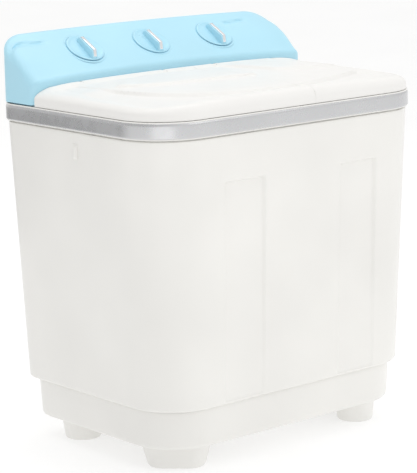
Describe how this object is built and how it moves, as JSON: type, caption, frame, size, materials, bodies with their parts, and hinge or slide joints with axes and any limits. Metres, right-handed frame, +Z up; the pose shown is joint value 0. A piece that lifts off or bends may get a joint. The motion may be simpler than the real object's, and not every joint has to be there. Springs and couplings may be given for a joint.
{
  "type": "twin tub washer",
  "caption": "Free-standing twin tub washer with a belt-driven wash tub, a spin basket beside it, two hinged crowned lids and a sloped rear console with blade knobs.",
  "frame": {"origin": "floor level under the centre of the trim band, which is the widest and deepest part of the machine", "axes": "+X to the right as seen from the front (spin tub side), +Y to the rear (console), +Z up"},
  "size_m": [0.59, 0.418, 0.6755],
  "materials": {
    "white_plastic": "satin moulded polypropylene, warm white",
    "lid_plastic": "glossy moulded white",
    "tub_plastic": "smooth moulded polypropylene",
    "blue_plastic": "moulded light blue",
    "console_blue": "satin light sky blue",
    "knob_blue": "satin light sky blue",
    "silver_trim": "silver metallic lacquer on plastic",
    "chrome": "bright plated strip",
    "steel": "bright turned steel",
    "zinc_steel": "zinc-plated pressed steel",
    "motor_steel": "dark grey paint over laminated steel",
    "cast_alloy": "as-cast aluminium",
    "dark_plastic": "moulded black nylon",
    "black_rubber": "moulded black rubber"
  },
  "bodies": {
    "machine": {"cabinet_shell": "white_plastic", "base_skirt": "white_plastic", "feet": "white_plastic", "service_panel": "white_plastic", "hinge_knuckles": "lid_plastic", "top_deck": "white_plastic", "trim_band": "silver_trim", "cord_gland": "black_rubber", "wash_tub": "tub_plastic", "lint_filter": "blue_plastic", "pulsator_bearing": "cast_alloy", "drive_belt": "black_rubber", "wash_motor": "motor_steel", "drive_plate": "zinc_steel", "spin_outer_tub": "tub_plastic", "spin_seal": "black_rubber", "spin_motor": "motor_steel", "suspension_boots": "black_rubber", "suspension_springs": "steel", "brake_pivot": "zinc_steel", "brake_cable": "steel", "drain_valve_body": "dark_plastic", "drain_spigot": "white_plastic", "spin_drain_tube": "black_rubber", "console_housing": "console_blue", "console_back_cover": "white_plastic", "inlet_spigot": "white_plastic", "inlet_pipe": "dark_plastic", "wash_timer": "dark_plastic", "drain_selector": "dark_plastic", "spin_timer": "dark_plastic", "hinge_pins": "steel", "capacitors": "cast_alloy", "rear_screws": "steel"},
    "wash_lid": {"wash_lid": "lid_plastic"},
    "spin_lid": {"spin_lid": "lid_plastic"},
    "wash_knob": {"wash_knob": "knob_blue", "wash_knob_strip": "chrome"},
    "drain_knob": {"drain_knob": "knob_blue", "drain_knob_strip": "chrome"},
    "spin_knob": {"spin_knob": "knob_blue", "spin_knob_strip": "chrome"},
    "pulsator_drive": {"pulsator": "tub_plastic", "pulsator_shaft": "steel", "pulsator_screw": "steel", "large_pulley": "dark_plastic"},
    "wash_motor_rotor": {"wash_motor_shaft": "steel", "motor_pulley": "cast_alloy"},
    "spin_rotor": {"spin_basket": "tub_plastic", "balance_ring": "blue_plastic", "spin_press_disc": "blue_plastic", "spin_shaft": "steel", "brake_drum": "cast_alloy", "spin_motor_shaft": "steel"},
    "brake_lever": {"brake_lever": "zinc_steel", "brake_shoe": "black_rubber"},
    "lid_brake_crank": {"lid_brake_crank": "dark_plastic"},
    "drain_plug": {"drain_plug": "black_rubber", "drain_pull_rod": "steel"}
  },
  "joints": [
    {"name": "wash_lid_hinge", "type": "hinge", "parent": "machine", "child": "wash_lid", "pos_m": [-0.13, 0.096, 0.595], "axis": [-1, 0, 0], "range_deg": [0, 85]},
    {"name": "spin_lid_hinge", "type": "hinge", "parent": "machine", "child": "spin_lid", "pos_m": [0.16, 0.096, 0.595], "axis": [-1, 0, 0], "range_deg": [0, 85]},
    {"name": "wash_knob_turn", "type": "hinge", "parent": "machine", "child": "wash_knob", "pos_m": [-0.151, 0.15229, 0.64441], "axis": [0, 0.5446, -0.8387], "range_deg": [0, 330]},
    {"name": "drain_knob_turn", "type": "hinge", "parent": "machine", "child": "drain_knob", "pos_m": [-0.01, 0.15229, 0.64441], "axis": [0, 0.5446, -0.8387], "range_deg": [0, 90]},
    {"name": "spin_knob_turn", "type": "hinge", "parent": "machine", "child": "spin_knob", "pos_m": [0.131, 0.15229, 0.64441], "axis": [0, 0.5446, -0.8387], "range_deg": [0, 300]},
    {"name": "pulsator_spin", "type": "hinge", "parent": "machine", "child": "pulsator_drive", "pos_m": [-0.128, -0.046, 0.2], "axis": [0, 0, 1], "continuous": true},
    {"name": "wash_motor_spin", "type": "hinge", "parent": "machine", "child": "wash_motor_rotor", "pos_m": [-0.128, 0.1, 0.12], "axis": [0, 0, 1], "continuous": true},
    {"name": "spin_basket_spin", "type": "hinge", "parent": "machine", "child": "spin_rotor", "pos_m": [0.157, -0.042, 0.2], "axis": [0, 0, 1], "continuous": true},
    {"name": "brake_lever_pivot", "type": "hinge", "parent": "machine", "child": "brake_lever", "pos_m": [0.112, 0.014, 0.212], "axis": [0, 0, -1], "range_deg": [0, 1.2]},
    {"name": "lid_brake_crank_pivot", "type": "hinge", "parent": "machine", "child": "lid_brake_crank", "pos_m": [0.214, 0.118, 0.571], "axis": [1, 0, 0], "range_deg": [0, 12]},
    {"name": "drain_plug_lift", "type": "slide", "parent": "machine", "child": "drain_plug", "axis": [0, 0, 1], "range_m": [0, 0.008]}
  ],
  "couplings": [
    {"joint": "wash_motor_spin", "follows": "pulsator_spin", "ratio": 3.6316},
    {"joint": "brake_lever_pivot", "follows": "spin_lid_hinge", "ratio": 0.014118},
    {"joint": "lid_brake_crank_pivot", "follows": "spin_lid_hinge", "ratio": 0.14118},
    {"joint": "drain_knob_turn", "follows": "drain_plug_lift", "rad_per_m": 196.35}
  ]
}
